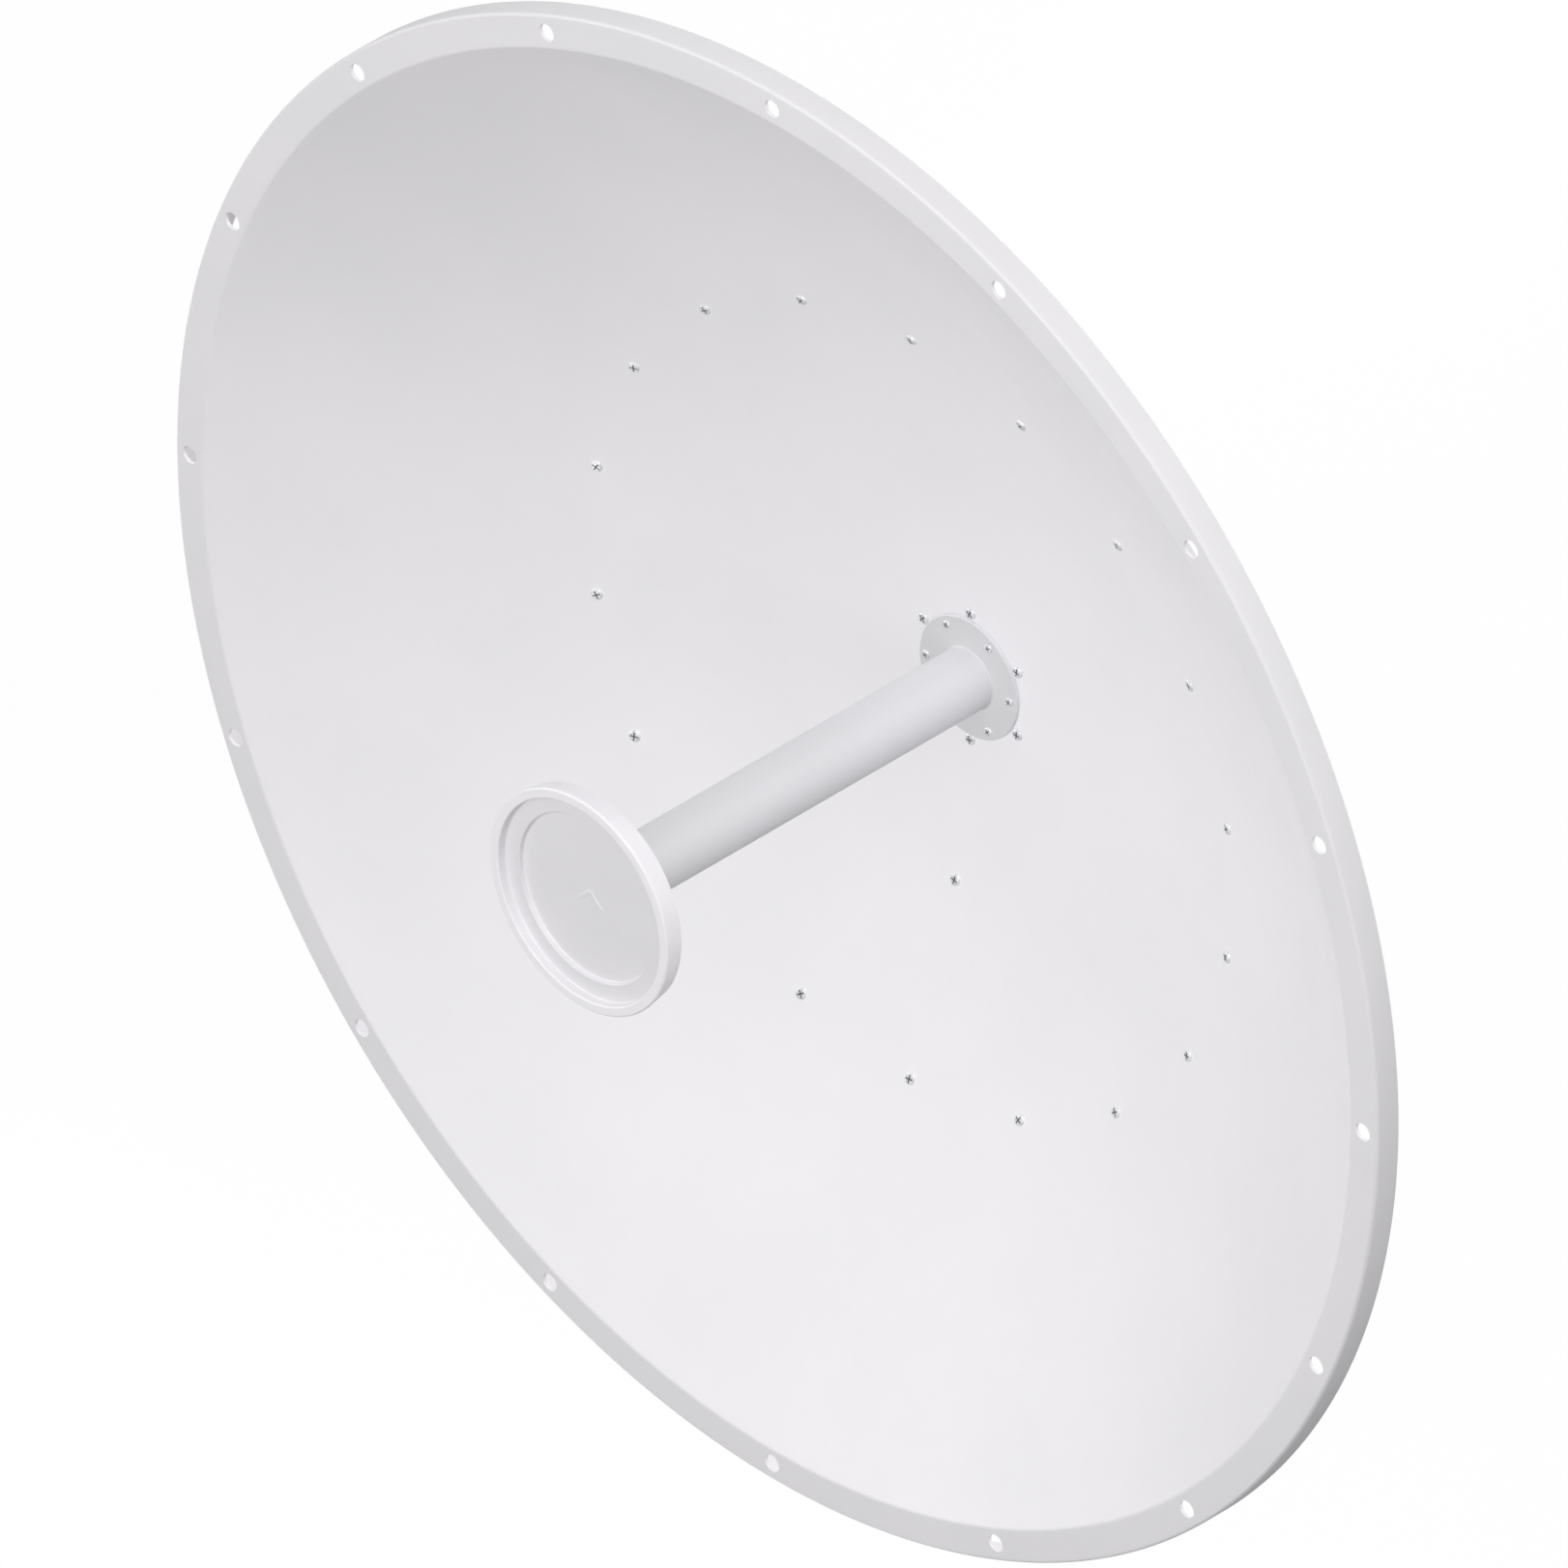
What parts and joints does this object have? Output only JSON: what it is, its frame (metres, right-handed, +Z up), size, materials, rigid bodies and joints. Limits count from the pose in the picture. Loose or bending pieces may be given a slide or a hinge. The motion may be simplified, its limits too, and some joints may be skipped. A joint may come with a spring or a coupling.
{
  "type": "parabolic dish antenna",
  "caption": "Deep white solid-skin parabolic dish antenna with a central waveguide feed on a long tube and a side-offset pole mount with azimuth and elevation adjustment.",
  "frame": {"origin": "on the axis of the pole that the clamps grip, midway between the upper and the lower clamp", "axes": "+Z up along the pole, -Y along the beam with the azimuth and the elevation at zero, +X towards the dish axis"},
  "size_m": [1.05, 0.559, 1.05],
  "materials": {
    "white_reflector_paint": "satin",
    "white_feed_paint": "satin",
    "white_plastic": "satin",
    "dielectric_plastic": "satin",
    "bare_aluminium": "satin",
    "gasket_rubber": "matte",
    "jack_brass": "satin",
    "galvanised_steel": "satin",
    "bright_zinc_fasteners": "satin"
  },
  "bodies": {
    "pole_clamp": {"pole_bracket": "galvanised_steel", "clamp_bolt_upper_left": "bright_zinc_fasteners", "clamp_bolt_upper_right": "bright_zinc_fasteners", "clamp_bolt_lower_left": "bright_zinc_fasteners", "clamp_bolt_lower_right": "bright_zinc_fasteners", "azimuth_pivot_bolt_upper": "bright_zinc_fasteners", "azimuth_pivot_nut_upper": "bright_zinc_fasteners", "azimuth_pivot_bolt_lower": "bright_zinc_fasteners", "azimuth_pivot_nut_lower": "bright_zinc_fasteners"},
    "azimuth_head": {"azimuth_bracket": "galvanised_steel", "azimuth_lock_bolt": "bright_zinc_fasteners", "azimuth_lock_nut": "bright_zinc_fasteners", "elevation_pivot_bolt": "bright_zinc_fasteners", "elevation_pivot_nut": "bright_zinc_fasteners", "elevation_lock_bolt": "bright_zinc_fasteners", "elevation_lock_nut": "bright_zinc_fasteners"},
    "dish": {"adjuster_nut_front": "bright_zinc_fasteners", "adjuster_nut_rear": "bright_zinc_fasteners", "back_ring": "white_reflector_paint", "feed_cap": "white_plastic", "feed_cone": "dielectric_plastic", "feed_gasket": "gasket_rubber", "feed_housing": "bare_aluminium", "feed_tube": "white_feed_paint", "flange_screw_1": "bright_zinc_fasteners", "flange_screw_2": "bright_zinc_fasteners", "flange_screw_3": "bright_zinc_fasteners", "flange_screw_4": "bright_zinc_fasteners", "flange_screw_5": "bright_zinc_fasteners", "flange_screw_6": "bright_zinc_fasteners", "frame_bolt_1": "bright_zinc_fasteners", "frame_bolt_2": "bright_zinc_fasteners", "frame_bolt_3": "bright_zinc_fasteners", "frame_bolt_4": "bright_zinc_fasteners", "hub_plate": "bare_aluminium", "hub_screw_1": "bright_zinc_fasteners", "hub_screw_2": "bright_zinc_fasteners", "hub_screw_3": "bright_zinc_fasteners", "hub_screw_4": "bright_zinc_fasteners", "hub_screw_5": "bright_zinc_fasteners", "hub_screw_6": "bright_zinc_fasteners", "mount_frame": "galvanised_steel", "radio_mount": "white_reflector_paint", "radio_mount_screw": "bright_zinc_fasteners", "reflector": "white_reflector_paint", "rf_jack_horizontal": "jack_brass", "rf_jack_vertical": "jack_brass", "sub_reflector": "bare_aluminium"},
    "elevation_adjuster": {"elevation_rod": "bright_zinc_fasteners", "elevation_rod_pin": "bright_zinc_fasteners"},
    "upper_jaw": {"clamp_jaw_upper": "galvanised_steel", "clamp_nut_upper_left": "bright_zinc_fasteners", "clamp_nut_upper_right": "bright_zinc_fasteners"},
    "lower_jaw": {"clamp_jaw_lower": "galvanised_steel", "clamp_nut_lower_left": "bright_zinc_fasteners", "clamp_nut_lower_right": "bright_zinc_fasteners"}
  },
  "joints": [
    {"name": "azimuth_turn", "type": "hinge", "parent": "pole_clamp", "child": "azimuth_head", "pos_m": [0, -0.088, 0], "axis": [0, 0, 1], "range_deg": [-10, 10]},
    {"name": "elevation_tilt", "type": "hinge", "parent": "azimuth_head", "child": "dish", "pos_m": [0, -0.096, 0.06], "axis": [-1, 0, 0], "range_deg": [-10, 10]},
    {"name": "adjuster_travel", "type": "slide", "parent": "dish", "child": "elevation_adjuster", "axis": [0, 1, 0], "range_m": [-0.0165, 0.0165]},
    {"name": "upper_jaw_slide", "type": "slide", "parent": "pole_clamp", "child": "upper_jaw", "axis": [0, 1, 0], "range_m": [-0.03, 0.016]},
    {"name": "lower_jaw_slide", "type": "slide", "parent": "pole_clamp", "child": "lower_jaw", "axis": [0, 1, 0], "range_m": [-0.03, 0.016]}
  ],
  "couplings": [
    {"joint": "adjuster_travel", "follows": "elevation_tilt", "m_per_rad": 0.0907}
  ]
}
